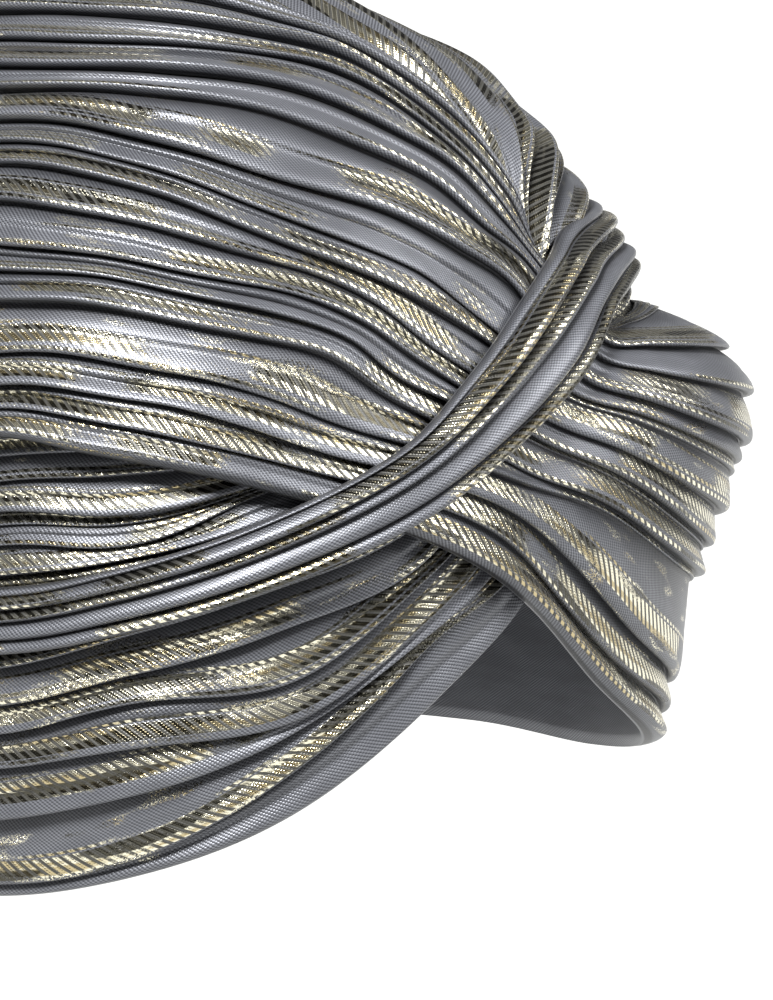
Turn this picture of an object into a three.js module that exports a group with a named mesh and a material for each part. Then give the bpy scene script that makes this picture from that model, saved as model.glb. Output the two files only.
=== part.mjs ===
// A pleated turban hat: three long pleated wraps that cross in a twist over the forehead.
// Millimetres, +Z up, the forehead towards -Y. The origin is the centre of the head opening,
// at the height of the notch over the forehead.

import * as THREE from 'three';

// The head that the cloth is wrapped round, an oval with a rounder crown and a deeper face side
const HEAD = {
  halfWidth: 79,
  halfLength: 97,
  crown: 103,
  below: 165,
  planPower: 2.5,
  crownPower: 2.1,
  lowPower: 2.5,
};

// The cloth and its folds
const CLOTH_WALL = 1.6;
const INNER_FOLD_SHARE = 0.6;
const SEAM_AZIMUTH = 179.85;
const WIDTH_WARP = 0.8;

// Each fold rises slowly from its upper groove, turns over a crest and drops to the next groove
const FOLD_PROFILE = [
  { along: 0, rise: 0 },
  { along: 0.35, rise: 0.85 },
  { along: 0.8, rise: 1 },
];

// Columns of the section tables: where the upper and lower edge of a wrap lie on the head, in
// degrees round from the forehead (wearer's left positive) and up from the opening, then how far
// the cloth stands off the head at four heights across it, and how deep its folds are
const SECTION_COLUMNS = [
  'topAzimuth', 'topElevation', 'lowAzimuth', 'lowElevation',
  'topLift', 'upperLift', 'lowerLift', 'lowLift', 'foldDepth',
];

// The middle wrap runs from the back seam over the right side of the crown, down through the
// twist, and along the left side as the forehead band
const MIDDLE_SECTIONS = [
  [-SEAM_AZIMUTH, 31, -SEAM_AZIMUTH, 7, 6, 6, 6, 6, 2],
  [-173, 52, -155, 7, 7.2, 6.7, 7, 7, 2.4],
  [-155, 70, -132, 9, 7, 6.5, 7, 7, 2.8],
  [-100, 79, -112, 12, 7, 6.5, 7, 7, 2.8],
  [-32, 77, -92, 16, 7.2, 6.5, 7, 7, 2.8],
  [-4, 68, -74, 20, 7.6, 6.8, 7, 7, 2.8],
  [8, 60, -60, 22, 7.8, 7, 7, 7, 2.6],
  [12, 50, -49, 20, 7.9, 7, 7, 7, 2.4],
  [13, 42, -40, 18, 7.3, 6.4, 7, 6.5, 2.2],
  [12, 35, -30, 15, 5.6, 5.3, 5, 5.5, 1.8],
  [18, 27, -13, 8, 5.5, 6, 5.3, 5.8, 1.8],
  [24, 26, -1, 0.5, 6, 12, 7, 3.9, 2.2],
  [34, 26, 13, -11, 6.5, 18, 9, 1.5, 2.6],
  [50, 25, 30, -20, 6.4, 20, 9, 1.2, 3],
  [74, 22, 54, -28, 6, 17, 8, 1.2, 3],
  [98, 18, 80, -32, 6, 13, 7, 1.2, 3],
  [124, 15, 112, -34, 7.4, 11, 6, 1.2, 2.8],
  [152, 13, 146, -34.5, 8, 8.8, 5, 1.2, 2.4],
  [SEAM_AZIMUTH, 12, SEAM_AZIMUTH, -35, 6.8, 7, 4, 1.2, 2],
];

// The under wrap runs from the back seam along the right side as the forehead band, up beneath
// the twist, and over the left side of the crown
const UNDER_SECTIONS = [
  [-SEAM_AZIMUTH, 12, -SEAM_AZIMUTH, -35, 1.2, 1.2, 2, 1.2, 2],
  [-150, 12, -150, -34, 1.2, 1.5, 3, 1.2, 2.4],
  [-120, 15, -120, -34, 1.2, 1.5, 3.5, 1.2, 2.6],
  [-90, 20, -90, -34, 1.2, 1.5, 3.5, 1.2, 2.6],
  [-62, 26, -62, -31, 1.2, 1.5, 3.5, 1.2, 2.6],
  [-47, 24, -46, -26, 1.2, 1.5, 3, 1.2, 2.4],
  [-35, 21, -28, -18, 1.2, 1.2, 2, 1.2, 2.2],
  [-25, 21, -13, -8, 1, 1, 1.2, 1.2, 1.8],
  [-16, 25, -1, 0, 0.8, 0.8, 0.8, 0.8, 1.6],
  [-9, 32, 10, 12, 0.8, 0.8, 0.8, 0.8, 1.6],
  [-3, 40, 22, 20, 0.8, 0.8, 0.8, 0.8, 1.6],
  [-5, 50, 33, 20, 0.8, 2.9, 3.2, 0.8, 1.8],
  [-13, 60, 47, 19, 0.8, 3.6, 3.8, 0.8, 2.2],
  [-32, 67, 62, 18, 0.8, 3.1, 2.6, 0.8, 2.6],
  [-60, 71, 82, 15, 0.8, 2.5, 2, 0.8, 2.6],
  [-105, 72, 104, 12, 0.8, 2.5, 2, 0.8, 2.6],
  [-142, 65, 128, 9, 0.8, 2.5, 2, 0.8, 2.4],
  [-167, 50, 153, 7, 0.8, 2.5, 2, 0.8, 2.2],
  [SEAM_AZIMUTH, 31, SEAM_AZIMUTH, 7, 1.2, 2, 1.5, 0.8, 1.8],
];

// The strand is the narrow roll of folds that lies over the other two where they cross
const STRAND_SECTIONS = [
  [-SEAM_AZIMUTH, 3, -SEAM_AZIMUTH, -3, 7, 7, 7, 7, 1],
  [-150, 3, -150, -4, 8, 8, 8, 8, 1.2],
  [-120, 2.5, -120, -5, 8.5, 8.5, 8.5, 8.5, 1.4],
  [-90, 2.5, -90, -5.5, 8.5, 8.5, 8.5, 8.5, 1.4],
  [-60, 4, -60, -4, 8.5, 8.5, 8.5, 8.5, 1.4],
  [-47, 8, -45, 1.5, 8, 8, 8, 8, 1.4],
  [-34, 12, -31, 6, 9, 8.8, 8, 7.5, 1.4],
  [-19, 18, -17, 11.5, 9.2, 9.6, 9.8, 9.8, 1.4],
  [-9, 25, -3, 18, 9.2, 10, 10.1, 9.6, 1.4],
  [0, 28, 5.5, 21.5, 9.2, 10.2, 10.4, 10.2, 1.4],
  [11, 35, 17, 27.5, 9.3, 10, 10.2, 10, 1.4],
  [20, 38, 25, 29.5, 8, 8.3, 8.4, 8.6, 1.6],
  [37, 39, 40, 30, 8.4, 8.4, 8, 7, 1.8],
  [60, 36, 62, 27, 7.5, 8, 7.5, 7, 1.8],
  [90, 30, 90, 23, 7.5, 7.5, 7.5, 7, 1.6],
  [120, 24, 120, 18, 7.5, 7.5, 7.5, 7, 1.4],
  [150, 20, 150, 15, 7, 7, 7, 6.5, 1.2],
  [SEAM_AZIMUTH, 18.5, SEAM_AZIMUTH, 13.5, 6.5, 6.5, 6.5, 6, 1],
];

// Columns of the fold tables, one row for each main fold from the upper edge down: its share of
// the width before, in and after the twist, and its rise as a share of the section's fold depth
const FOLD_COLUMNS = ['shareBefore', 'shareInTwist', 'shareAfter', 'rise'];

const MIDDLE_FOLDS = [
  [14, 3, 5, 0.8],
  [7, 3, 5, 0.9],
  [10, 4, 13, 1],
  [7, 9, 7, 1.1],
  [9, 18, 10, 0.9],
  [13, 14, 14, 1],
  [5, 7, 4, 0.8],
  [6, 7, 4, 0.9],
  [10, 11, 10, 1.1],
  [7, 8, 10, 1],
  [5, 7, 11, 0.9],
  [7, 9, 7, 1],
];

const UNDER_FOLDS = [
  [10, 3, 12, 0.8],
  [5, 3, 6, 0.9],
  [6, 4, 7, 0.9],
  [7, 5, 17, 1],
  [12, 12, 11, 0.9],
  [7, 8, 5, 0.8],
  [6, 9, 6, 0.9],
  [8, 11, 6, 1],
  [6, 7, 6, 0.9],
  [7, 11, 6, 1],
  [10, 6, 6, 1.1],
  [10, 5, 6, 0.9],
  [6, 16, 6, 0.7],
];

const STRAND_FOLDS = [
  [32, 40, 36, 0.9],
  [42, 32, 34, 1.2],
  [26, 28, 30, 0.9],
];

// Each wrap: its tables, the sections where its folds last keep their shares before the twist,
// have those of the twist and first keep those after it, the number of steps along it, and its
// colour
const WRAPS = [
  {
    name: 'under_wrap',
    sections: UNDER_SECTIONS,
    folds: UNDER_FOLDS,
    twist: [4, 7.2, 12],
    steps: 30,
    colour: 0x6c6e76,
  },
  {
    name: 'middle_wrap',
    sections: MIDDLE_SECTIONS,
    folds: MIDDLE_FOLDS,
    twist: [4.5, 9, 11.5],
    steps: 32,
    colour: 0x767880,
  },
  {
    name: 'twist_strand',
    sections: STRAND_SECTIONS,
    folds: STRAND_FOLDS,
    twist: [5, 8, 12],
    steps: 40,
    colour: 0x80828a,
  },
];
const CLOTH_ROUGHNESS = 0.45;
const CLOTH_METALNESS = 0.1;

function namedRows(columns, rows) {
  return rows.map((row) => Object.fromEntries(columns.map((name, index) => [name, row[index]])));
}

// Smooth curve through a list of values, where position counts the values from 0
function smoothCurve(values, position) {
  const index = Math.min(Math.floor(position), values.length - 2);
  const part = position - index;
  const valueAt = (k) => values[THREE.MathUtils.clamp(k, 0, values.length - 1)];
  const [a, b, c, d] = [valueAt(index - 1), valueAt(index), valueAt(index + 1), valueAt(index + 2)];
  const square = 2 * a - 5 * b + 4 * c - d;
  const cube = 3 * b - a - 3 * c + d;
  return 0.5 * (2 * b + (c - a) * part + square * part ** 2 + cube * part ** 3);
}

function direction(azimuth, elevation) {
  const round = THREE.MathUtils.degToRad(azimuth);
  const up = THREE.MathUtils.degToRad(elevation);
  return new THREE.Vector3(Math.sin(round) * Math.cos(up), -Math.cos(round) * Math.cos(up), Math.sin(up));
}

function smoothDirection(directions, position) {
  const components = ['x', 'y', 'z'].map((axis) => smoothCurve(directions.map((d) => d[axis]), position));
  return new THREE.Vector3(...components).normalize();
}

// Height and power of the head's oval above or below the opening
function headShape(z) {
  const above = z >= 0;
  return {
    height: above ? HEAD.crown : HEAD.below,
    power: above ? HEAD.crownPower : HEAD.lowPower,
  };
}

function planSum(point) {
  const across = Math.abs(point.x / HEAD.halfWidth) ** HEAD.planPower;
  const along = Math.abs(point.y / HEAD.halfLength) ** HEAD.planPower;
  return across + along;
}

function headPoint(towards) {
  const { height, power } = headShape(towards.z);
  const size = planSum(towards) ** (power / HEAD.planPower) + Math.abs(towards.z / height) ** power;
  return towards.clone().divideScalar(size ** (1 / power));
}

function headNormal(point) {
  const { height, power } = headShape(point.z);
  const planWeight = Math.max(planSum(point), 1e-9) ** (power / HEAD.planPower - 1);
  const slope = (value, half, exponent) => Math.sign(value) * Math.abs(value / half) ** (exponent - 1) / half;
  return new THREE.Vector3(
    planWeight * slope(point.x, HEAD.halfWidth, HEAD.planPower),
    planWeight * slope(point.y, HEAD.halfLength, HEAD.planPower),
    slope(point.z, height, power),
  ).normalize();
}

// One section of a wrap: its two edges as directions, its lifts and its fold depth
function sectionAt(wrap, position) {
  const rows = namedRows(SECTION_COLUMNS, wrap.sections);
  const column = (name) => smoothCurve(rows.map((row) => row[name]), position);
  return {
    top: smoothDirection(rows.map((row) => direction(row.topAzimuth, row.topElevation)), position),
    low: smoothDirection(rows.map((row) => direction(row.lowAzimuth, row.lowElevation)), position),
    lifts: ['topLift', 'upperLift', 'lowerLift', 'lowLift'].map(column),
    foldDepth: column('foldDepth'),
  };
}

// A point of the cloth: on the arc between the section's edges, then off the head by its lift
function clothPoint(section, width, rise) {
  const angle = section.top.angleTo(section.low);
  const towards = section.top.clone().multiplyScalar(Math.sin((1 - width) * angle));
  towards.addScaledVector(section.low, Math.sin(width * angle)).normalize();
  const lastLift = section.lifts.length - 1;
  const lift = smoothCurve(section.lifts, lastLift * width ** WIDTH_WARP);
  const onHead = headPoint(towards);
  return onHead.clone().addScaledVector(headNormal(onHead), lift + rise);
}

// Grooves and crests of the folds across a section, each with its place in the width and its rise
function foldLine(wrap, position) {
  const [before, within, after] = wrap.twist;
  const goingIn = THREE.MathUtils.smoothstep(position, before, within);
  const comingOut = THREE.MathUtils.smoothstep(position, within, after);
  const folds = namedRows(FOLD_COLUMNS, wrap.folds);
  const shares = folds.map((fold) => {
    const share = THREE.MathUtils.lerp(fold.shareBefore, fold.shareInTwist, goingIn);
    return THREE.MathUtils.lerp(share, fold.shareAfter, comingOut);
  });
  const total = shares.reduce((sum, share) => sum + share, 0);
  const line = [];
  let start = 0;
  folds.forEach((fold, index) => {
    for (const step of FOLD_PROFILE) {
      line.push({ width: (start + step.along * shares[index]) / total, rise: step.rise * fold.rise });
    }
    start += shares[index];
  });
  line.push({ width: 1, rise: 0 });
  return line;
}

// A closed wall of pleated cloth: an outer and an inner sheet joined along their edges
function wrapGeometry(wrap) {
  const outer = [];
  const inner = [];
  for (let step = 0; step <= wrap.steps; step += 1) {
    const position = (step / wrap.steps) * (wrap.sections.length - 1);
    const section = sectionAt(wrap, position);
    for (const { width, rise } of foldLine(wrap, position)) {
      const foldRise = rise * section.foldDepth;
      outer.push(clothPoint(section, width, foldRise + CLOTH_WALL));
      inner.push(clothPoint(section, width, foldRise * INNER_FOLD_SHARE));
    }
  }
  const rows = wrap.steps + 1;
  const columns = outer.length / rows;
  const triangles = [];
  const addQuad = (a, b, c, d) => triangles.push(a, b, c, a, c, d);
  // A place of the outer sheet is row by row, and the inner sheet's places follow the outer's
  const outerAt = (row, column) => row * columns + column;
  const addRim = (from, to) => addQuad(from, to, outer.length + to, outer.length + from);
  for (let row = 0; row < rows - 1; row += 1) {
    for (let column = 0; column < columns - 1; column += 1) {
      const corner = outerAt(row, column);
      const next = outerAt(row + 1, column);
      addQuad(corner, corner + 1, next + 1, next);
      addQuad(outer.length + corner, outer.length + next, outer.length + next + 1, outer.length + corner + 1);
    }
    addRim(outerAt(row, 0), outerAt(row + 1, 0));
    addRim(outerAt(row + 1, columns - 1), outerAt(row, columns - 1));
  }
  for (let column = 0; column < columns - 1; column += 1) {
    addRim(outerAt(0, column + 1), outerAt(0, column));
    addRim(outerAt(rows - 1, column), outerAt(rows - 1, column + 1));
  }
  const geometry = new THREE.BufferGeometry();
  const coordinates = [...outer, ...inner].flatMap((point) => point.toArray());
  geometry.setAttribute('position', new THREE.Float32BufferAttribute(coordinates, 3));
  geometry.setIndex(triangles);
  geometry.computeVertexNormals();
  return geometry;
}

function makeWrap(wrap) {
  const material = new THREE.MeshStandardMaterial({
    color: wrap.colour,
    roughness: CLOTH_ROUGHNESS,
    metalness: CLOTH_METALNESS,
  });
  const mesh = new THREE.Mesh(wrapGeometry(wrap), material);
  mesh.name = wrap.name;
  return mesh;
}

const group = new THREE.Group();
WRAPS.forEach((wrap) => group.add(makeWrap(wrap)));

export default group;
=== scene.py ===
# Turban hat of pleated satin with a metallic foil print, held up as a head would hold it.
# Metres, +Z up, the forehead towards -Y. The origin is the middle of the head opening.

import math

import bpy
import numpy as np
from mathutils import Matrix, Vector


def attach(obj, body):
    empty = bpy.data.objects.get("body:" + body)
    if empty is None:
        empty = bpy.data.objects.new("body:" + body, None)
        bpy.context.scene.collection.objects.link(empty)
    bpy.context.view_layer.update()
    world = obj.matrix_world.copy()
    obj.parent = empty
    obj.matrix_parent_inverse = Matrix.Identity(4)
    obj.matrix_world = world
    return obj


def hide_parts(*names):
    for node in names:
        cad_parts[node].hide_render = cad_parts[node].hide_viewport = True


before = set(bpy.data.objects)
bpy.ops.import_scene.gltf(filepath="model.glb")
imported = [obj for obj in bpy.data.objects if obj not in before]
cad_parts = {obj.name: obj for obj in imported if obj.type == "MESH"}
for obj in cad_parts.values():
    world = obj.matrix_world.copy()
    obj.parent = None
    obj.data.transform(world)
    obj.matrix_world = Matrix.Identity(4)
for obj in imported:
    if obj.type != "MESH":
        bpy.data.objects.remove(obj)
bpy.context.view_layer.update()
print("frame loaded")

mm = 0.001


# Camera, first of all: a long lens from the wearer's right front, a little above

cameraSet = {
    "turn": 47, "down": 12,          # degrees, from straight ahead and from level
    "distance": 1.5,                 # m to the notch over the forehead
    "notch": (0, -0.098, 0),         # where the two bands part over the forehead, in m
    "notchPixel": (520, 605),        # where the photograph has that point
    "photoSize": (773, 1000),
    "pixelsPerMetre": 5500,          # at the notch
    "sensor": 36,
}


def makeCamera(values):
    turn = math.radians(values["turn"])
    down = math.radians(values["down"])
    level = Vector((math.sin(turn), math.cos(turn), 0))
    forward = level * math.cos(down) - Vector((0, 0, math.sin(down)))
    right = Vector((math.cos(turn), -math.sin(turn), 0))
    up = right.cross(forward)
    wide, high = values["photoSize"]
    pixelX, pixelY = values["notchPixel"]
    scale = values["pixelsPerMetre"]
    target = Vector(values["notch"])
    target = target + right * ((wide / 2 - pixelX) / scale) + up * ((pixelY - high / 2) / scale)
    data = bpy.data.cameras.new("photoCamera")
    data.sensor_width = values["sensor"]
    data.lens = scale * values["distance"] / max(wide, high) * values["sensor"]
    camera = bpy.data.objects.new("photoCamera", data)
    bpy.context.scene.collection.objects.link(camera)
    rows = Matrix((right, up, -forward)).transposed().to_4x4()
    camera.matrix_world = Matrix.Translation(target - forward * values["distance"]) @ rows
    bpy.context.scene.camera = camera


makeCamera(cameraSet)
print("camera placed")


# The head that the cloth is wrapped round, an oval with a rounder crown, as in the CAD model

head = {
    "halfWidth": 79, "halfLength": 97, "crown": 103, "below": 165,      # mm
    "planPower": 2.5, "crownPower": 2.1, "lowPower": 2.5,
}
seamAzimuth = 179.98     # degrees, where the wraps meet at the middle of the back
widthWarp = 0.8          # power of the width at which the four lifts of a section are spaced
clothWall = 1.6          # mm

# Sections along each wrap, after those of the CAD model, with deeper folds over the crown and a
# strand that lies closer: where its upper and lower edge lie on the head, in degrees round from
# the forehead and up from the opening, then how far the cloth stands off the head at four
# heights across it, and how deep its folds are, in mm
middleSections = (
    (-seamAzimuth, 31, -seamAzimuth, 7, 6, 6, 6, 6, 2),
    (-173, 52, -155, 7, 7.2, 6.7, 7, 7, 2.4),
    (-155, 70, -132, 9, 7, 6.5, 7, 7, 3.2),
    (-100, 79, -112, 12, 7, 6.5, 7, 7, 3.4),
    (-32, 77, -92, 16, 7.2, 6.5, 7, 7, 3.5),
    (-4, 68, -74, 20, 7.6, 6.8, 7, 7, 3.5),
    (8, 60, -60, 22, 7.8, 7, 7, 7, 3.1),
    (12, 50, -49, 20, 7.9, 7, 7, 7, 2.7),
    (13, 42, -40, 18, 7.3, 6.4, 7, 6.5, 2.2),
    (12, 35, -30, 15, 5.6, 5.3, 5, 5.5, 1.8),
    (18, 27, -13, 8, 5.5, 6, 5.3, 5.8, 1.8),
    (24, 26, -1, 0.5, 6, 12, 7, 3.9, 2.2),
    (34, 26, 13, -11, 6.5, 18, 9, 1.5, 2.6),
    (50, 25, 30, -20, 6.4, 20, 9, 1.2, 3),
    (74, 22, 54, -28, 6, 17, 8, 1.2, 3),
    (98, 18, 80, -32, 6, 13, 7, 1.2, 3),
    (124, 15, 112, -34, 7.4, 11, 6, 1.2, 2.8),
    (152, 13, 146, -34.5, 8, 8.8, 5, 1.2, 2.4),
    (seamAzimuth, 12, seamAzimuth, -35, 6.8, 7, 4, 1.2, 2),
)
underSections = (
    (-seamAzimuth, 12, -seamAzimuth, -35, 1.2, 1.2, 2, 1.2, 2),
    (-150, 12, -150, -34, 1.2, 1.5, 3, 1.2, 2.4),
    (-120, 15, -120, -34, 1.2, 1.5, 3.5, 1.2, 2.6),
    (-90, 20, -90, -34, 1.2, 1.5, 3.5, 1.2, 2.6),
    (-62, 26, -62, -31, 1.2, 1.5, 3.5, 1.2, 2.6),
    (-47, 24, -46, -26, 1.2, 1.5, 3, 1.2, 2.4),
    (-35, 21, -28, -18, 1.2, 1.2, 2, 1.2, 2.2),
    (-25, 21, -13, -8, 1, 1, 1.2, 1.2, 1.8),
    (-16, 25, -1, 0, 0.8, 0.8, 0.8, 0.8, 1.6),
    (-9, 32, 10, 12, 0.8, 0.8, 0.8, 0.8, 1.6),
    (-3, 40, 22, 20, 0.8, 0.8, 0.8, 0.8, 1.6),
    (-5, 50, 33, 20, 0.8, 3.2, 3.2, 0.8, 3),
    (-13, 60, 47, 19, 0.8, 3.6, 3.4, 0.8, 4.2),
    (-32, 67, 62, 18, 0.8, 3, 2.4, 0.8, 4.4),
    (-60, 71, 82, 15, 0.8, 2.2, 2, 0.8, 3.4),
    (-105, 72, 104, 12, 0.8, 2.5, 2, 0.8, 2.6),
    (-142, 65, 128, 9, 0.8, 2.5, 2, 0.8, 2.4),
    (-167, 50, 153, 7, 0.8, 2.5, 2, 0.8, 2.2),
    (seamAzimuth, 31, seamAzimuth, 7, 1.2, 2, 1.5, 0.8, 1.8),
)
strandSections = (
    (-seamAzimuth, 3, -seamAzimuth, -3, 7, 7, 7, 7, 1),
    (-150, 3, -150, -4, 7.4, 7.4, 7.4, 7.4, 1.2),
    (-120, 2.5, -120, -5, 7.2, 7.2, 7.2, 7.2, 1.4),
    (-90, 2.5, -90, -5.5, 7.2, 7.2, 7.2, 7.2, 1.4),
    (-60, 5.4, -60, -2.4, 7.2, 7.2, 7.2, 7.2, 1.4),
    (-47, 8, -45, 1.5, 7.4, 7.4, 7.4, 7.4, 1.4),
    (-34, 12, -31, 6, 9, 8.8, 8, 7.5, 1.4),
    (-19, 18, -17, 11.5, 9.2, 9.6, 9.8, 9.8, 1.4),
    (-9, 24.2, -3, 17.8, 9.2, 10, 10.1, 9.6, 1.6),
    (0, 29.4, 6.5, 22, 9.2, 10.2, 10.4, 10.2, 1.6),
    (11, 34, 17, 26.8, 8, 8.6, 8.6, 8, 1.6),
    (20, 36.5, 26, 28.2, 6, 6.4, 6.6, 6.6, 1.6),
    (37, 37, 40, 28.6, 6.2, 6.8, 7, 7, 1.6),
    (60, 36, 62, 27, 7.5, 8, 7.5, 7, 1.8),
    (90, 30, 90, 23, 7.5, 7.5, 7.5, 7, 1.6),
    (120, 24, 120, 18, 7.5, 7.5, 7.5, 7, 1.4),
    (150, 20, 150, 15, 7, 7, 7, 6.5, 1.2),
    (seamAzimuth, 18.5, seamAzimuth, 13.5, 6.5, 6.5, 6.5, 6, 1),
)

# Where each fold starts across its wrap, as a percentage of the width, at the stations above each
# table, which count the sections from 0. Folds pinch together into the twist and fan out after it
middleStations = (0, 3, 4.5, 6.5, 7.3, 8.1, 9, 10, 11.3, 12.3, 15, 18)
middleStarts = (
    (0, 0, 0, 0, 0, 0, 0, 0, 0, 0, 0, 0),
    (6, 7, 7, 4, 3, 2.5, 0.8, 0.8, 0.8, 0.9, 3, 6),
    (12, 14, 14, 8, 6.5, 5, 1.6, 1.6, 1.6, 1.8, 7, 12),
    (19, 20, 21, 12, 9.6, 7.8, 2.4, 2.4, 3, 3.4, 14, 19),
    (25, 26, 27, 20, 14.2, 11, 4.6, 9.5, 13.5, 15.5, 21, 25),
    (31, 32, 31.5, 28, 21, 16.8, 7.6, 16, 23, 26, 29.5, 31),
    (37, 38, 38, 41, 33.5, 27, 17, 26, 32.5, 36, 38, 37),
    (44, 43, 42, 48, 44, 37.8, 31.4, 33, 36.8, 40, 43, 44),
    (50, 48, 46, 52.6, 49.8, 45, 37.4, 35.6, 39, 42.5, 46, 50),
    (56, 54, 52.5, 57.5, 53.8, 51, 47.5, 45.5, 47.5, 50, 53, 56),
    (62, 60, 60, 63.5, 59, 56, 53, 53, 54, 57, 60, 62),
    (69, 66, 65, 67.4, 63.9, 60.8, 59.6, 55, 55.6, 58.5, 62.5, 69),
    (75, 72, 70.5, 72.6, 69.8, 66, 65.5, 65, 62.5, 64, 68, 75),
    (81, 81, 81, 81.8, 79.6, 78, 76.4, 70, 64.5, 65.6, 70.5, 81),
    (87, 88, 88, 88.3, 86.4, 86, 85, 79.5, 82.5, 85, 86, 87),
    (94, 94, 93, 93.4, 92.5, 92.1, 91, 88, 93, 93, 94, 94),
)
underStations = (0, 3, 4.1, 5.2, 6.1, 7.2, 8, 9.5, 11.2, 12.5, 15, 18)
underStarts = (
    (0, 0, 0, 0, 0, 0, 0, 0, 0, 0, 0, 0),
    (6, 5, 5, 3, 2, 1, 1, 6, 7, 6, 6, 6),
    (12, 10, 10, 6, 3.5, 2, 2, 12, 14, 12, 12, 12),
    (19, 16, 15, 11, 5, 3, 4, 18, 21, 18, 18, 19),
    (25, 22, 21, 19, 12, 8, 8, 24, 28, 25, 25, 25),
    (31, 26, 24, 21.5, 13.5, 10, 11, 30, 35, 33, 31, 31),
    (37, 31, 28, 26, 15.5, 12, 15, 36, 39.5, 42, 38, 37),
    (44, 36, 34, 29, 22, 18, 21, 40, 41.5, 47.5, 44, 44),
    (50, 42, 40, 33, 27, 25, 28, 45, 47, 53, 50, 50),
    (56, 48, 47, 38, 33, 33, 36, 50, 49, 57.5, 56, 56),
    (62, 55, 53, 45, 40, 42, 44, 56, 56, 64, 62, 62),
    (69, 62, 61, 54, 50, 54, 51, 63, 64, 70, 69, 69),
    (75, 69, 67, 61, 64, 60, 58, 70, 72, 76, 75, 75),
    (81, 76, 74, 71, 75, 72, 69, 78, 80, 82, 81, 81),
    (87, 85, 84, 81, 78.5, 77, 77, 85, 88, 88, 87, 87),
    (94, 94, 96, 94, 87, 81, 84, 93, 94, 94, 94, 94),
)
strandStations = (0, 4, 5.2, 7, 8.5, 10, 11, 13, 17)
strandStarts = (
    (0, 0, 0, 0, 0, 0, 0, 0, 0),
    (20, 12, 8, 6, 6, 10, 14, 18, 20),
    (42, 32, 31, 30, 31, 34, 36, 40, 42),
    (60, 50, 48, 46, 48, 56, 58, 60, 60),
    (80, 76, 77, 78, 80, 81, 80, 80, 80),
)

# What is printed on each fold, from the upper edge down: its rise as a share of the section's
# fold depth, the length of its slanted bars and their height above the fold's lower lip in mm,
# its rows of dashes up from the lip, and the strength of its crackled foil
printColumns = ("rise", "bars", "barsAt", "rows", "crackle")
middlePrint = (
    (0.8, 0, 2, 2, 0.3),
    (1.0, 3.0, 1.5, 1, 0.3),
    (0.8, 2.4, 1.5, 1, 0.2),
    (1.0, 3.4, 2.2, 2, 0.4),
    (0.9, 0, 1, 1, 0),
    (1.1, 4.6, 2.4, 2, 0.3),
    (0.8, 0, 2, 3, 0.5),
    (1.0, 2.4, 1.2, 1, 0.1),
    (0.9, 2.8, 2.0, 2, 0.6),
    (0.9, 3.0, 1.6, 1, 0.5),
    (1.0, 0, 1, 2, 0.3),
    (1.0, 2.8, 1.6, 1, 0.4),
    (1.0, 3.6, 1.6, 1, 0.7),
    (1.1, 3.6, 1.4, 0, 1.0),
    (0.9, 3.4, 0.8, 1, 0.7),
    (1.0, 3.0, 1.0, 1, 0.9),
)
underPrint = (
    (0.8, 0, 1, 1, 0),
    (1.0, 3.0, 1, 1, 0.4),
    (0.9, 0, 1, 2, 0.1),
    (1.1, 3.4, 0.9, 0, 0.3),
    (0.8, 2.2, 0.8, 1, 0.8),
    (0.8, 3.0, 1, 1, 0.3),
    (1.1, 2.4, 1.6, 2, 0.4),
    (1.0, 4.2, 1.2, 1, 0.4),
    (1.0, 3.2, 1, 2, 0.4),
    (0.9, 2.8, 1, 1, 0.7),
    (1.1, 3.4, 1.0, 2, 0.8),
    (1.0, 3.8, 1.2, 1, 0.9),
    (1.0, 3.0, 1, 3, 0.7),
    (1.1, 4.4, 2.6, 0, 0.3),
    (1.0, 3.0, 0.8, 2, 0.9),
    (0.9, 0, 1, 0, 0),
)
strandPrint = (
    (0.6, 0, 1, 0, 0.3),
    (1.4, 3.0, 1.0, 1, 0.7),
    (1.1, 3.4, 0.6, 0, 0.5),
    (1.4, 0, 1, 0, 0),
    (1.3, 2.4, 0.2, 0, 0),
)

# Each wrap: its tables, grid steps along it and seed, its creases as stations with the depth of the
# crease there, its flat size in m and what it rests on, the power that sets a fold's crest low, how far
# its folds lean over the next, and the noise above which its foil gets a painted dark reflection
wraps = (
    {
        "name": "pleatedUnderWrap", "node": "under_wrap", "sections": underSections,
        "stations": underStations, "starts": underStarts, "prints": underPrint,
        "steps": 270, "seed": 11,
        "creases": ((0, 0.4), (9, 0.4), (10.5, 0.1), (14, 0.1), (18, 0.4)),
        "flat": (0.155, 0.57), "restsOn": ["middle_wrap"],
        "crest": 2.2, "lean": 0.24, "turned": 0.5,
    },
    {
        "name": "pleatedMiddleWrap", "node": "middle_wrap", "sections": middleSections,
        "stations": middleStations, "starts": middleStarts, "prints": middlePrint,
        "steps": 270, "seed": 23,
        "creases": ((0, 0.5), (9, 0.5), (10.5, 0.08), (15, 0.08), (18, 0.3)),
        "flat": (0.155, 0.61), "restsOn": ["under_wrap"],
        "crest": 2.2, "lean": 0.24, "turned": 0.57,
    },
    {
        "name": "pleatedTwistStrand", "node": "twist_strand", "sections": strandSections,
        "stations": strandStations, "starts": strandStarts, "prints": strandPrint,
        "steps": 320, "seed": 37,
        "creases": ((0, 0), (17, 0)),
        "flat": (0.025, 0.64), "restsOn": ["middle_wrap"],
        "crest": 1.4, "lean": 0.12, "turned": 0.48,
    },
)


def catmullRom(a, b, c, d, part):
    # The curve from b to c, with a and d the values on either side of them
    square = 2 * a - 5 * b + 4 * c - d
    cube = 3 * b - a - 3 * c + d
    return 0.5 * (2 * b + (c - a) * part + square * part ** 2 + cube * part ** 3)


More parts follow.
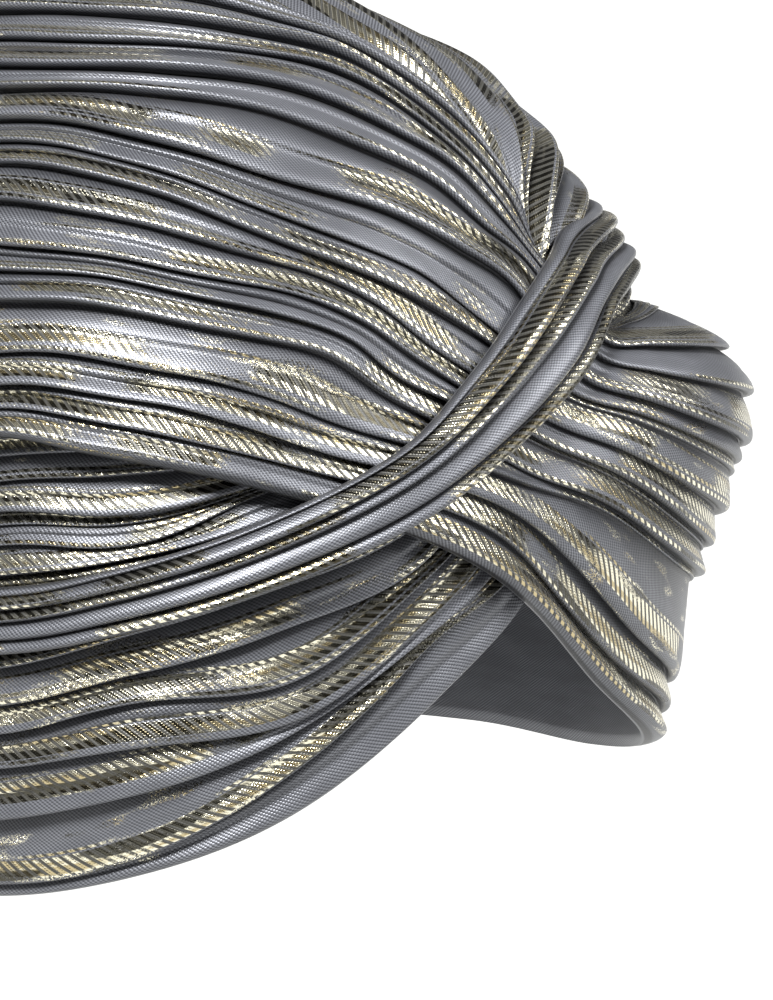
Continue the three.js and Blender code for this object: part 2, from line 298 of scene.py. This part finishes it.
def splineRows(rows, places):
    # Catmull-Rom curve through the rows of a table, where places counts the rows from 0
    index = np.clip(places.astype(int), 0, len(rows) - 2)
    part = (places - index)[:, None]
    last = len(rows) - 1
    return catmullRom(*(rows[np.clip(index + step, 0, last)] for step in (-1, 0, 1, 2)), part)


def splineAt(stations, values, places):
    # Hermite curve through values at uneven stations, with slopes from the neighbours either side
    stations = np.asarray(stations, float)
    slopes = np.gradient(values, stations, axis=1)
    index = np.clip(np.searchsorted(stations, places, side="right") - 1, 0, len(stations) - 2)
    span = stations[index + 1] - stations[index]
    part = (places - stations[index]) / span
    start = (1 + 2 * part) * (1 - part) ** 2 * values[:, index]
    end = part ** 2 * (3 - 2 * part) * values[:, index + 1]
    startSlope = part * (1 - part) ** 2 * span * slopes[:, index]
    endSlope = part ** 2 * (1 - part) * span * slopes[:, index + 1]
    return start + startSlope + end - endSlope


def unit(vectors):
    return vectors / np.linalg.norm(vectors, axis=-1, keepdims=True)


def direction(azimuth, elevation):
    turn, rise = np.radians(azimuth), np.radians(elevation)
    return np.stack([np.sin(turn) * np.cos(rise), -np.cos(turn) * np.cos(rise), np.sin(rise)], -1)


def headPoint(towards):
    # The head's oval: |x/a|^n + |y/b|^n gives the plan, and its power k with |z/c|^k the profile
    above = towards[..., 2] >= 0
    height = np.where(above, head["crown"], head["below"])
    power = np.where(above, head["crownPower"], head["lowPower"])
    plan = np.abs(towards[..., 0] / head["halfWidth"]) ** head["planPower"]
    plan = plan + np.abs(towards[..., 1] / head["halfLength"]) ** head["planPower"]
    size = plan ** (power / head["planPower"]) + np.abs(towards[..., 2] / height) ** power
    return towards / (size ** (1 / power))[..., None]


def headNormal(point):
    # The gradient of the same formula
    above = point[..., 2] >= 0
    height = np.where(above, head["crown"], head["below"])
    power = np.where(above, head["crownPower"], head["lowPower"])
    n = head["planPower"]
    x, y, z = point[..., 0], point[..., 1], point[..., 2]
    a, b = head["halfWidth"], head["halfLength"]
    plan = np.abs(x / a) ** n + np.abs(y / b) ** n + 1e-9
    weight = plan ** (power / n - 1)
    slopeX = weight * np.sign(x) * np.abs(x / a) ** (n - 1) / a
    slopeY = weight * np.sign(y) * np.abs(y / b) ** (n - 1) / b
    slopeZ = np.sign(z) * np.abs(z / height) ** (power - 1) / height
    return unit(np.stack([slopeX, slopeY, slopeZ], -1))


def clothPoints(table, places, width, rise):
    # A point of the cloth lies on the arc between its section's two edge directions, at the share
    # width of the arc, and stands off the head by the section's lift there plus rise
    top = unit(splineRows(direction(table[:, 0], table[:, 1]), places))[:, None]
    low = unit(splineRows(direction(table[:, 2], table[:, 3]), places))[:, None]
    angle = np.arccos(np.clip((top * low).sum(-1), -1, 1))[..., None]
    share = width[..., None]
    towards = unit(np.sin((1 - share) * angle) * top + np.sin(share * angle) * low)
    lifts = splineRows(table[:, 4:8], places)
    spot = np.clip(np.clip(width, 0, 1) ** widthWarp * 3, 0, 3 - 1e-9)
    index = spot.astype(int)
    part = spot - index
    near = (np.take_along_axis(lifts, np.clip(index + step, 0, 3), 1) for step in (-1, 0, 1, 2))
    lift = catmullRom(*near, part)
    onHead = headPoint(towards)
    return onHead + headNormal(onHead) * (lift + rise)[..., None]


foldSet = {
    "upperSteps": 7, "lowerSteps": 11,           # grid steps above and below the crease of a fold
    "lowerBunching": 1.5,                        # power that bunches the lower steps at the lip
    "creaseAt": 0.42, "creaseWander": 0.08,      # share of the fold above its crease
    "creaseVaries": 0.489,                       # share by which the depth of a crease varies
    "smallRidge": (0.8, 1.4, 0.6),               # height, power of the place and roundness
    "largeRidge": (1, 2.4, 0.5),
    "wholeRoundness": 0.55,                      # of a fold without a crease
    "wander": 0.018, "swell": 0.08,              # slow changes along the wrap, in width and height
    "narrowest": 0.006,                          # share of the width that every fold keeps
    "pinched": 0.05, "flattest": 0.05,           # folds narrower than this share lose height
    "lipAt": 0.55,                               # share of the lower steps above the lip
    "hem": 0.02, "hemWall": 0.4,                 # share of the width over which the edge thins
    "innerGap": 0.15,                            # mm between the head's lift and the inner sheet
    "phaseStep": 2.39,                           # radians from one fold's slow waves to the next's
    "innerSteps": 40, "unprinted": -50,          # mm below the lip, where nothing is printed
}


def slowWaves(places, phase, first, second, amount):
    # Two waves along the wrap, each with its own rate and its own share of the fold's phase
    longWave = np.sin(places * first[0] + phase * first[1])
    return longWave + amount * np.sin(places * second[0] + phase * second[1])


def ridge(place, height, power, roundness):
    # A sine of a power of the place across, so that it is full and its crest sits low
    return height * np.sin(math.pi * place ** power) ** roundness


def foldGrid(wrap, values):
    # Across a fold a small ridge stands over a large one, with a crease between, and blends into
    # one whole ridge where the wrap has no creases. The rise also pushes each fold over the next
    table = np.array(wrap["sections"], float)
    places = np.linspace(0, len(table) - 1, wrap["steps"])
    starts = np.array(wrap["starts"], float) / 100
    folds = len(starts)
    shares = np.diff(np.vstack([starts, np.ones((1, starts.shape[1]))]), axis=0)
    shares = np.clip(splineAt(wrap["stations"], shares, places), values["narrowest"], None)
    number = np.arange(folds)[:, None]
    phase = wrap["seed"] + number * values["phaseStep"]
    shares = shares * (1 + values["wander"] * slowWaves(places, phase, (1.7, 1), (3.1, 1.7), 0.6))
    shares = shares / shares.sum(0)
    edges = np.cumsum(shares, 0) - shares
    heights = np.array([row[0] for row in wrap["prints"]])[:, None]
    heights = heights * (1 + values["swell"] * slowWaves(places, phase, (2.3, 1.3), (5.1, 2.1), 0.7))
    heights = heights * np.clip(shares / values["pinched"], values["flattest"], 1) ** 1.1
    upper = np.linspace(0, 1, values["upperSteps"] + 1)
    lower = 1 - (1 - np.linspace(0, 1, values["lowerSteps"] + 1)) ** values["lowerBunching"]
    crease = values["creaseAt"] + values["creaseWander"] * np.sin(phase * 1.9 + places * 0.8)
    crease = crease[..., None]
    place = np.concatenate([crease * upper, crease + (1 - crease) * lower[1:]], -1)
    ridges = np.concatenate([
        ridge(upper, *values["smallRidge"]),
        ridge(lower, *values["largeRidge"])[1:],
    ])
    whole = ridge(np.clip(place, 0, 1), 1, wrap["crest"], values["wholeRoundness"])
    parted = np.interp(places, *zip(*wrap["creases"]))
    parted = parted * (1 + values["creaseVaries"] * np.sin(phase * 3.3 + places * 0.6))
    parted = parted[..., None]
    rise = whole * (1 - parted) + ridges * parted
    lean = wrap["lean"] * (number < folds - 1)
    width = edges[..., None] + shares[..., None] * (place + lean[..., None] * rise)
    rise = heights[..., None] * rise
    depth = splineRows(table[:, 8:9], places)
    width, rise, place = (grid.transpose(1, 0, 2) for grid in (width, rise, place))
    return table, places, width, rise, depth, place


def joinFolds(values):
    # Rows of folds, each with its own first and last sample, to one row that shares them
    rows, folds, samples = values.shape[:3]
    body = values[:, :, :-1].reshape(rows, folds * (samples - 1), *values.shape[3:])
    return np.concatenate([body, values[:, -1:, -1]], 1)


def wrapSheet(wrap, values):
    # The outer sheet of folds and a plain inner sheet, closed by a strip along the two long edges
    # and by one face at each end
    table, places, width, rise, depth, place = foldGrid(wrap, values)
    flatWidth = joinFolds(width)
    fromEdge = np.clip(np.minimum(flatWidth, 1 - flatWidth) / values["hem"], 0, 1)
    wall = clothWall * (values["hemWall"] + (1 - values["hemWall"]) * fromEdge)
    outer = clothPoints(table, places, flatWidth, joinFolds(rise) * depth + wall)
    innerWidth = np.linspace(0, 1, values["innerSteps"] + 1)[None].repeat(len(places), 0)
    inner = clothPoints(table, places, innerWidth, np.full_like(innerWidth, values["innerGap"]))
    points = np.concatenate([outer.reshape(-1, 3), inner.reshape(-1, 3)]) * mm
    grid = np.arange(flatWidth.size).reshape(flatWidth.shape)
    under = np.arange(innerWidth.size).reshape(innerWidth.shape) + grid.size
    a, b, c, d = grid[:-1, :-1], grid[:-1, 1:], grid[1:, 1:], grid[1:, :-1]
    outside = np.stack([a, b, c, d], -1).reshape(-1, 4)
    a, b, c, d = under[:-1, :-1], under[1:, :-1], under[1:, 1:], under[:-1, 1:]
    inside = np.stack([a, b, c, d], -1).reshape(-1, 4)
    upperRim = np.stack([grid[:-1, 0], grid[1:, 0], under[1:, 0], under[:-1, 0]], -1)
    lowerRim = np.stack([grid[1:, -1], grid[:-1, -1], under[:-1, -1], under[1:, -1]], -1)
    faces = np.concatenate([outside, inside, upperRim, lowerRim])
    ends = [
        np.concatenate([grid[0, ::-1], under[0]]),
        np.concatenate([grid[-1], under[-1, ::-1]]),
    ]
    return points, faces, ends, outer, place


def clothMap(wrap, outer, place, cornerCount, values):
    # Cloth map in mm: along each fold by its own length, square to it even where the rows of the
    # grid run aslant, and up from its lower lip by the length over the cloth. A second map keeps
    # the place across the fold, and each face what is printed on its fold
    rows, folds, samples = place.shape
    index = (np.arange(folds) * (samples - 1))[:, None] + np.arange(samples)[None]
    cloth = outer[:, index]
    middle = cloth[:, :, values["upperSteps"] + values["lowerSteps"] // 2]
    heading = unit(np.gradient(middle, axis=0))[:, :, None]
    steps = np.linalg.norm(np.diff(middle, axis=0), axis=-1)
    along = np.vstack([np.zeros((1, folds)), np.cumsum(steps, 0)])[:, :, None]
    along = along + ((cloth - middle[:, :, None]) * heading).sum(-1)
    across = np.diff(cloth, axis=2)
    across = across - (across * heading).sum(-1, keepdims=True) * heading
    lengths = np.cumsum(np.linalg.norm(across, axis=-1), 2)
    fromTop = np.concatenate([np.zeros((rows, folds, 1)), lengths], 2)
    lip = values["upperSteps"] + int(values["lowerSteps"] * values["lipAt"])
    upward = fromTop[:, :, lip:lip + 1] - fromTop

    def perCorner(pair):
        corners = np.stack([pair[:-1, :, :-1], pair[:-1, :, 1:], pair[1:, :, 1:], pair[1:, :, :-1]], -2)
        return corners.reshape(-1, 2)

    clothPlaces = perCorner(np.stack([along, upward], -1))
    foldPlaces = perCorner(np.stack([place, np.zeros_like(place)], -1))
    # The inner sheet carries the weave too, far below every lip, so that nothing is printed there
    unprinted = values["unprinted"]
    innerRows, innerColumns = np.indices((rows - 1, values["innerSteps"]))
    length = along[-1].mean() / (rows - 1)
    breadth = fromTop[:, :, -1].sum(1).mean() / values["innerSteps"]
    corners = [
        np.stack([(innerRows + row) * length, unprinted - (innerColumns + column) * breadth], -1)
        for row, column in ((0, 0), (1, 0), (1, 1), (0, 1))
    ]
    inside = np.stack(corners, -2).reshape(-1, 2)
    rest = np.full((cornerCount - len(clothPlaces) - len(inside), 2), (0, unprinted))
    clothPlaces = np.concatenate([clothPlaces, inside, rest])
    midFold = np.full((cornerCount - len(foldPlaces), 2), 0.6)
    foldPlaces = np.concatenate([foldPlaces, midFold])
    prints = np.array(wrap["prints"], float)
    fold = np.tile(np.repeat(np.arange(folds), samples - 1), rows - 1)
    perFace = {name: prints[fold, column] for column, name in enumerate(printColumns) if column}
    perFace["fold"] = fold + float(wrap["seed"])
    perFace["turned"] = np.full(len(fold), wrap["turned"])
    return clothPlaces, foldPlaces, perFace


def makeWrap(wrap, values, material):
    points, faces, ends, outer, place = wrapSheet(wrap, values)
    mesh = bpy.data.meshes.new(wrap["name"])
    mesh.vertices.add(len(points))
    mesh.vertices.foreach_set("co", points.astype(np.float32).ravel())
    corners = np.concatenate([faces.ravel()] + ends).astype(np.int32)
    sizes = np.concatenate([np.full(len(faces), 4), [len(end) for end in ends]])
    mesh.loops.add(len(corners))
    mesh.loops.foreach_set("vertex_index", corners)
    mesh.polygons.add(len(sizes))
    mesh.polygons.foreach_set("loop_start", (np.cumsum(sizes) - sizes).astype(np.int32))
    smooth = np.ones(len(sizes), dtype=bool)
    smooth[-2:] = False
    mesh.polygons.foreach_set("use_smooth", smooth)
    clothPlaces, foldPlaces, perFace = clothMap(wrap, outer, place, len(corners), values)
    for name, pairs in (("clothMap", clothPlaces), ("foldMap", foldPlaces)):
        mesh.uv_layers.new(name=name).data.foreach_set("uv", pairs.astype(np.float32).ravel())
    for name, printed in perFace.items():
        full = np.zeros(len(sizes), dtype=np.float32)
        full[:len(printed)] = printed
        mesh.attributes.new(name, "FLOAT", "FACE").data.foreach_set("value", full)
    mesh.update(calc_edges=True)
    mesh.validate()
    mesh.materials.append(material)
    piece = bpy.data.objects.new(wrap["name"], mesh)
    bpy.context.scene.collection.objects.link(piece)
    return piece


# Materials

def linear(hexColour):
    # sRGB hex to the linear colour that Blender's sockets take
    parts = [int(hexColour[place:place + 2], 16) / 255 for place in (1, 3, 5)]
    return tuple(c / 12.92 if c <= 0.04045 else ((c + 0.055) / 1.055) ** 2.4 for c in parts) + (1,)


def addNode(tree, kind, settings=None, inputs=None):
    # Adds a node, sets its properties, and fills or links its inputs by name or number
    node = tree.nodes.new(kind)
    for name, value in (settings or {}).items():
        setattr(node, name, value)
    for name, value in (inputs or {}).items():
        if isinstance(value, bpy.types.NodeSocket):
            tree.links.new(value, node.inputs[name])
        else:
            node.inputs[name].default_value = value
    return node


def sums(tree, operation, *values):
    node = addNode(tree, "ShaderNodeMath", {"operation": operation}, dict(enumerate(values)))
    return node.outputs[0]


def blendColours(tree, factor, first, second):
    # The colour sockets of a Mix node are its seventh and eighth inputs and its third output
    node = addNode(tree, "ShaderNodeMix", {"data_type": "RGBA"}, {0: factor, 6: first, 7: second})
    return node.outputs[2]


def stepUp(tree, value, edge, soft):
    # 0 below the edge and 1 above it, with a soft change as wide as soft
    node = addNode(tree, "ShaderNodeMapRange", {"interpolation_type": "SMOOTHSTEP"}, {
        "Value": value, "From Min": edge - soft / 2, "From Max": edge + soft / 2,
    })
    return node.outputs["Result"]


def stepOver(tree, value, edge, soft):
    # The same where the edge is itself a socket
    return stepUp(tree, sums(tree, "SUBTRACT", value, edge), 0, soft)


def band(tree, value, low, high, soft):
    # 1 between low and high, which may be sockets
    above = stepOver(tree, value, low, soft)
    below = stepOver(tree, high, value, soft)
    return sums(tree, "MULTIPLY", above, below)


satinSet = {
    "grey": "#7e8086", "shade": "#434449",                  # the cloth on a thread and between two
    "weave": 0.42,                                          # mm between threads, coarse enough to show
    "steepness": 1.6, "crossing": -0.4,                     # of the second set of threads
    "roughness": 0.37, "sheen": 0.4,                        # sheen is the metal share of the cloth
    "toneSize": (9, 4), "toneDepth": 0.35,                  # mm, slow changes of the grey
    # Painted shade, laid dark in the groove under each lip and up the lower slope of each fold
    "groove": "#101014", "grooveDepth": 0.88,
    "slope": (0.2, 0.4), "slopeDepth": 0.62,                # shade from the groove up a fold
    # The last of these three colours is a painted dark reflection on the foil
    "foil": "#fbf5dc", "gold": "#b6a373", "paintedDarkReflection": "#1b1a16",
    "backing": "#3a3728", "backingDepth": 0.7,              # stain of the cloth between two bars
    "foilRoughness": 0.22,
    "pitch": 2.2, "slant": 1.15, "duty": 0.6,               # mm between two bars of the print
    "edge": 0.12, "overBars": (0.35, 0.85),                 # mm, row of dashes over the bars
    "rowAt": 0.05, "rowPitch": 1.15, "rowShare": 0.66,      # rows of dashes, in mm up from the lip
    "barStretch": (34, 0, 0.44),                            # mm, offset of its noise and threshold
    "overBarStretch": (40, 7.3, 0.47),
    "rowStretch": (46, 3.1, 0.43),
    "grain": 0.42, "crumble": 0.16,                         # mm, specks of broken foil
    "patchSize": (15, 3.2), "wornFrom": 0.76, "crackedFrom": 0.75,
    "goldSize": (26, 1.6), "goldFrom": 0.56, "goldDepth": 0.8,
    # Size and strength of the stretches of painted dark reflection on the foil
    "paintedDarkReflectionSize": (24, 2.4), "paintedDarkReflectionDepth": 0.92,
    "bump": 0.7, "bumpHeight": 0.00018,                     # strength, and height in m
}


def makeFoilSatin(values):
    # Pleated polyester satin with a hot-stamped foil of slanted bars and dashes in rows along
    # each pleat: soft grey sheen between bright, sharp metal marks that crackle into specks
    material = bpy.data.materials.new("foilPrintedSatin")
    material.use_nodes = True
    tree = material.node_tree
    tree.nodes.clear()
    cloth = addNode(tree, "ShaderNodeUVMap", {"uv_map": "clothMap"}).outputs[0]
    split = addNode(tree, "ShaderNodeSeparateXYZ", None, {0: cloth})
    along, upward = split.outputs[0], split.outputs[1]
    foldMap = addNode(tree, "ShaderNodeUVMap", {"uv_map": "foldMap"}).outputs[0]
    place = addNode(tree, "ShaderNodeSeparateXYZ", None, {0: foldMap}).outputs[0]
    read = {
        name: addNode(tree, "ShaderNodeAttribute", {"attribute_name": name}).outputs["Fac"]
        for name in ("bars", "barsAt", "rows", "crackle", "fold", "turned")
    }

    def times(*factors):
        product = factors[0]
        for factor in factors[1:]:
            product = sums(tree, "MULTIPLY", product, factor)
        return product

    def added(*terms):
        total = terms[0]
        for term in terms[1:]:
            total = sums(tree, "ADD", total, term)
        return total

    def noise(scaleAlong, scaleUp, offset, detail=1):
        # Soft noise stretched along the fold, its own on every fold
        lane = addNode(tree, "ShaderNodeCombineXYZ", None, {
            0: sums(tree, "DIVIDE", along, scaleAlong),
            1: sums(tree, "DIVIDE", upward, scaleUp),
            2: sums(tree, "MULTIPLY_ADD", read["fold"], 3.7, offset),
        })
        settings = {"Vector": lane.outputs[0], "Scale": 1, "Detail": detail}
        return addNode(tree, "ShaderNodeTexNoise", None, settings).outputs["Fac"]

    def without(value):
        return sums(tree, "SUBTRACT", 1, value)

    def largest(*shares):
        most = shares[0]
        for share in shares[1:]:
            most = sums(tree, "MAXIMUM", most, share)
        return most

    # The stripes of the print, slanted across every fold and shifted a little for each
    turns = sums(tree, "DIVIDE", along, values["pitch"])
    slanted = sums(tree, "MULTIPLY", upward, values["slant"] / values["pitch"])
    phase = sums(tree, "FRACT", added(turns, slanted, times(read["fold"], 0.37)))
    stripes = times(stepUp(tree, phase, 0.06, 0.1), without(stepUp(tree, phase, values["duty"], 0.1)))

    specks = addNode(tree, "ShaderNodeTexNoise", None, {
        "Vector": cloth, "Scale": 1 / values["grain"], "Detail": 2, "Roughness": 0.7,
    }).outputs["Fac"]

    def stretches(length, offset, threshold):
        # Print comes in stretches along its fold, and crumbles into specks where one ends
        slow = noise(length, 60, offset)
        crumbling = sums(tree, "MULTIPLY_ADD", specks, values["crumble"], slow)
        return stepUp(tree, crumbling, threshold + values["crumble"] / 2, 0.04)

    # The heights at which the stripes are printed: long bars, a row of dashes over them, and
    # rows of dashes up from the lip. Each row is printed in stretches along its fold
    edge = values["edge"]
    hasBars = stepUp(tree, read["bars"], 0.5, 0.2)
    barTop = added(read["barsAt"], read["bars"])
    bars = times(band(tree, upward, read["barsAt"], barTop, edge), hasBars)
    bars = times(bars, stretches(*values["barStretch"]))
    overLow, overHigh = (added(barTop, height) for height in values["overBars"])
    overBars = times(band(tree, upward, overLow, overHigh, edge), hasBars)
    overBars = times(overBars, stretches(*values["overBarStretch"]))
    rowNumber = sums(tree, "DIVIDE", added(upward, -values["rowAt"]), values["rowPitch"])
    rowPhase = sums(tree, "FRACT", rowNumber)
    inRow = without(stepUp(tree, rowPhase, values["rowShare"], edge))
    inRow = times(stepUp(tree, rowPhase, 0.08, edge), inRow)
    rows = times(inRow, stepUp(tree, rowNumber, 0, 0.05), stepOver(tree, read["rows"], rowNumber, 0.05))
    rows = times(rows, stretches(*values["rowStretch"]))
    lanes = largest(bars, overBars, rows)
    printed = times(stripes, lanes)

    # Crackled foil: patches where the foil breaks into specks, in the print and beside it
    patches = noise(*values["patchSize"], 11.9)
    worn = stepUp(tree, added(patches, times(read["crackle"], 0.1)), values["wornFrom"], 0.08)
    broken = without(times(worn, stepUp(tree, specks, 0.5, 0.1), 0.85))
    cracked = added(patches, times(read["crackle"], 0.16))
    cracked = stepUp(tree, cracked, values["crackedFrom"], 0.08)
    cracked = times(cracked, stepUp(tree, specks, 0.53, 0.05), stepUp(tree, upward, -1.2, 0.3))
    foil = largest(times(printed, broken), cracked)

    # The weave: two sets of threads that cross aslant, light on top and dark between
    turn = math.pi / values["weave"]
    first = sums(tree, "SINE", times(added(along, upward), turn))
    second = sums(tree, "MULTIPLY_ADD", along, values["crossing"], upward)
    second = sums(tree, "SINE", times(second, turn * values["steepness"]))
    weave = stepUp(tree, added(times(first, 0.6), times(second, 0.4)), 0, 1.2)
    greys = blendColours(tree, weave, linear(values["shade"]), linear(values["grey"]))
    tone = times(stepUp(tree, noise(*values["toneSize"], 21.7), 0.5, 0.5), values["toneDepth"])
    greys = blendColours(tree, tone, greys, linear(values["shade"]))
    greys = blendColours(tree, times(lanes, values["backingDepth"]), greys, linear(values["backing"]))

    # The foil is pale, golden in places, and painted dark in stretches: a painted reflection that
    # stands in for those where real foil mirrors the unlit side of a room
    golden = stepUp(tree, noise(*values["goldSize"], 33.1), values["goldFrom"], 0.1)
    golden = times(golden, values["goldDepth"])
    foils = blendColours(tree, golden, linear(values["foil"]), linear(values["gold"]))
    turned = stepOver(tree, noise(*values["paintedDarkReflectionSize"], 45.7), read["turned"], 0.06)
    foils = blendColours(tree, times(turned, values["paintedDarkReflectionDepth"]), foils, linear(values["paintedDarkReflection"]))
    colour = blendColours(tree, foil, greys, foils)

    # Painted shade: the cloth folds back under each lip deeper than the mesh does, so the groove
    # there is painted dark, and so is the lower slope of each fold above it
    groove = largest(without(stepUp(tree, place, 0.07, 0.12)), stepUp(tree, place, 0.965, 0.03))
    slope = without(stepUp(tree, place, *values["slope"]))
    paintedShade = largest(times(groove, values["grooveDepth"]), times(slope, values["slopeDepth"]))
    colour = blendColours(tree, paintedShade, colour, linear(values["groove"]))

    relief = times(specks, foil, sums(tree, "MULTIPLY_ADD", worn, 1.4, 0.25))
    bump = addNode(tree, "ShaderNodeBump", None, {
        "Height": added(times(weave, 0.25), relief),
        "Strength": values["bump"], "Distance": values["bumpHeight"],
    })
    metal = sums(tree, "MULTIPLY_ADD", foil, 1 - values["sheen"], values["sheen"])
    smoother = values["foilRoughness"] - values["roughness"]
    roughness = sums(tree, "MULTIPLY_ADD", foil, smoother, values["roughness"])
    shader = addNode(tree, "ShaderNodeBsdfPrincipled", None, {
        "Base Color": colour, "Metallic": metal, "Roughness": roughness,
        "Normal": bump.outputs[0], "Sheen Weight": 0.08, "Sheen Roughness": 0.4,
    })
    addNode(tree, "ShaderNodeOutputMaterial", None, {"Surface": shader.outputs[0]})
    return material


foilSatin = makeFoilSatin(satinSet)
for wrap in wraps:
    piece = makeWrap(wrap, foldSet, foilSatin)
    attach(piece, "root")
    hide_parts(wrap["node"])
    triangles = len(piece.data.loops) - 2 * len(piece.data.polygons)
    print(wrap["name"], triangles, "triangles")


# Floor and lights: a plain pale floor below the hat and two wide soft lights

roomSet = {
    "floorHeight": -0.3, "floorSize": 16, "floorColour": "#b6b6b4",
    "worldColour": "#ffffff", "worldStrength": 0.07,
}
# Two wide soft lights: strength, width, turn from straight ahead and height, in degrees
roomLights = {
    "softKey": (7.4, 18, -72, 56),
    "softSide": (2.8, 40, 40, 40),
}


def makeFloor(values):
    mesh = bpy.data.meshes.new("paleFloor")
    half = values["floorSize"] / 2
    corners = [(-half, -half, 0), (half, -half, 0), (half, half, 0), (-half, half, 0)]
    mesh.from_pydata(corners, [], [(0, 1, 2, 3)])
    floor = bpy.data.objects.new("paleFloor", mesh)
    floor.location = (0, 0, values["floorHeight"])
    bpy.context.scene.collection.objects.link(floor)
    material = bpy.data.materials.new("palePaper")
    material.use_nodes = True
    shader = material.node_tree.nodes["Principled BSDF"]
    shader.inputs["Base Color"].default_value = linear(values["floorColour"])
    shader.inputs["Roughness"].default_value = 0.9
    mesh.materials.append(material)


def makeLights(lights, values):
    for name, (strength, width, turn, height) in lights.items():
        data = bpy.data.lights.new(name, "SUN")
        data.energy = strength
        data.angle = math.radians(width)
        light = bpy.data.objects.new(name, data)
        towards = Vector(direction(turn, height))
        light.rotation_euler = towards.to_track_quat("Z", "Y").to_euler()
        bpy.context.scene.collection.objects.link(light)
    world = bpy.data.worlds.new("studio")
    world.use_nodes = True
    background = world.node_tree.nodes["Background"]
    background.inputs["Color"].default_value = linear(values["worldColour"])
    background.inputs["Strength"].default_value = values["worldStrength"]
    bpy.context.scene.world = world


makeFloor(roomSet)
makeLights(roomLights, roomSet)
bpy.context.scene.view_settings.view_transform = "Standard"
print("room ready")
